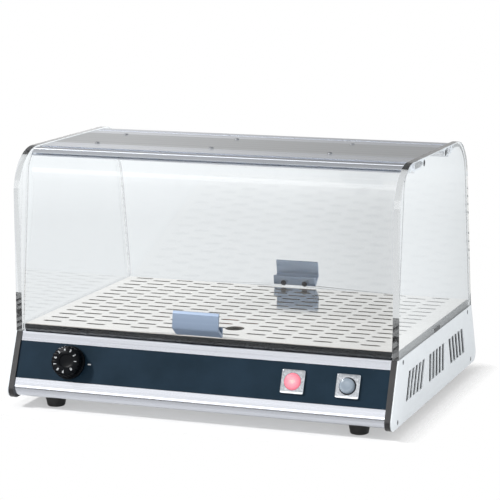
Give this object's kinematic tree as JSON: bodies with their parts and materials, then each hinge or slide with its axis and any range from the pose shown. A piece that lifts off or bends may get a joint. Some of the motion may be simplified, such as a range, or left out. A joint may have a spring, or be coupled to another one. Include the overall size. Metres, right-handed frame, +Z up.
{
  "type": "heated display case",
  "caption": "Counter-top heated display case with a sloped metal base, slotted tray, clear sides and curved clear flaps hinged at the top, front and rear.",
  "frame": {"origin": "on the counter, at the middle of the object's footprint", "axes": "+X to the right seen from the front, +Y to the rear, +Z up"},
  "size_m": [0.5, 0.4151, 0.3234],
  "materials": {
    "aluminium": "bright satin extrusion",
    "panel_blue": "dark blue, satin",
    "black_frame": "black, moulded",
    "side_satin": "pale satin sheet",
    "zinc_screw": "zinc plated",
    "black_screw": "blackened",
    "galvanised": "galvanised sheet",
    "rubber": "black",
    "black_sheet": "black, satin",
    "reflector": "bright reflector sheet",
    "element": "dark sheathed tube",
    "brass": "plain",
    "copper": "drawn copper",
    "inner_plastic": "black, moulded",
    "inner_steel": "turned",
    "black_plastic": "black, moulded",
    "terminal_plastic": "off-white, moulded",
    "chrome": "polished",
    "red_lens": "translucent red",
    "clear_bulb": "clear",
    "button_plastic": "pale grey",
    "knob_black": "black with white figures",
    "clear_acrylic": "clear cast acrylic sheet, polished edges",
    "top_satin": "satin sheet",
    "rail_aluminium": "satin extrusion",
    "handle_aluminium": "satin extrusion",
    "tray_steel": "bright, lightly polished"
  },
  "bodies": {
    "case": {"front_fascia": "aluminium", "rear_fascia": "aluminium", "control_panel": "panel_blue", "rear_panel": "panel_blue", "end_frame_left": "black_frame", "end_frame_right": "black_frame", "side_cover_left": "side_satin", "side_cover_right": "side_satin", "side_cover_screws": "zinc_screw", "chassis_pan": "galvanised", "pan_rivets": "zinc_screw", "foot_front_left": "rubber", "foot_front_right": "rubber", "foot_rear_left": "rubber", "foot_rear_right": "rubber", "foot_screws": "zinc_screw", "foot_nuts": "zinc_screw", "deck_frame": "black_sheet", "heater_strip_left": "galvanised", "heater_strip_right": "galvanised", "heater_pan": "reflector", "heating_element": "element", "element_cradles": "reflector", "element_bushes": "brass", "thermostat_body": "inner_plastic", "sensing_bulb": "copper", "bulb_clips": "galvanised", "lamp_bezel": "chrome", "lamp_body": "inner_plastic", "lamp_lens": "red_lens", "lamp_bulb": "clear_bulb", "switch_bezel": "chrome", "switch_body": "inner_plastic", "cable_gland": "black_plastic", "gland_nut": "black_plastic", "terminal_block": "terminal_plastic", "earth_stud": "brass", "side_glass_left": "clear_acrylic", "side_glass_right": "clear_acrylic", "glass_key_left": "black_plastic", "glass_key_right": "black_plastic", "top_plate": "top_satin", "top_plate_screws": "zinc_screw", "front_hinge_rail": "rail_aluminium", "rear_hinge_rail": "rail_aluminium", "rail_screws": "black_screw"},
    "front_flap": {"front_flap_glass": "clear_acrylic", "front_hinge_leaf": "rail_aluminium", "front_handle": "handle_aluminium", "front_handle_screws": "black_screw"},
    "rear_flap": {"rear_flap_glass": "clear_acrylic", "rear_hinge_leaf": "rail_aluminium", "rear_handle": "handle_aluminium", "rear_handle_screws": "black_screw"},
    "tray": {"tray": "tray_steel"},
    "knob": {"knob": "knob_black", "knob_spindle": "inner_steel"},
    "button": {"switch_button": "button_plastic", "switch_plunger": "inner_plastic"}
  },
  "joints": [
    {"name": "front_flap_hinge", "type": "hinge", "parent": "case", "child": "front_flap", "pos_m": [0, -0.121, 0.316], "axis": [-1, 0, 0], "range_deg": [0, 95]},
    {"name": "rear_flap_hinge", "type": "hinge", "parent": "case", "child": "rear_flap", "pos_m": [0, 0.064, 0.316], "axis": [1, 0, 0], "range_deg": [0, 95]},
    {"name": "tray_tilt", "type": "hinge", "parent": "case", "child": "tray", "pos_m": [0, 0.1655, 0.102], "axis": [-1, 0, 0], "range_deg": [0, 10]},
    {"name": "knob_turn", "type": "hinge", "parent": "case", "child": "knob", "pos_m": [-0.17, -0.18755, 0.0613], "axis": [0, 0.9239, -0.3827], "range_deg": [-46, 268]},
    {"name": "button_press", "type": "slide", "parent": "case", "child": "button", "axis": [0, 0.9239, -0.3827], "range_m": [0, 0.0035], "stiffness_N_per_m": 400, "springref_m": -0.003}
  ]
}
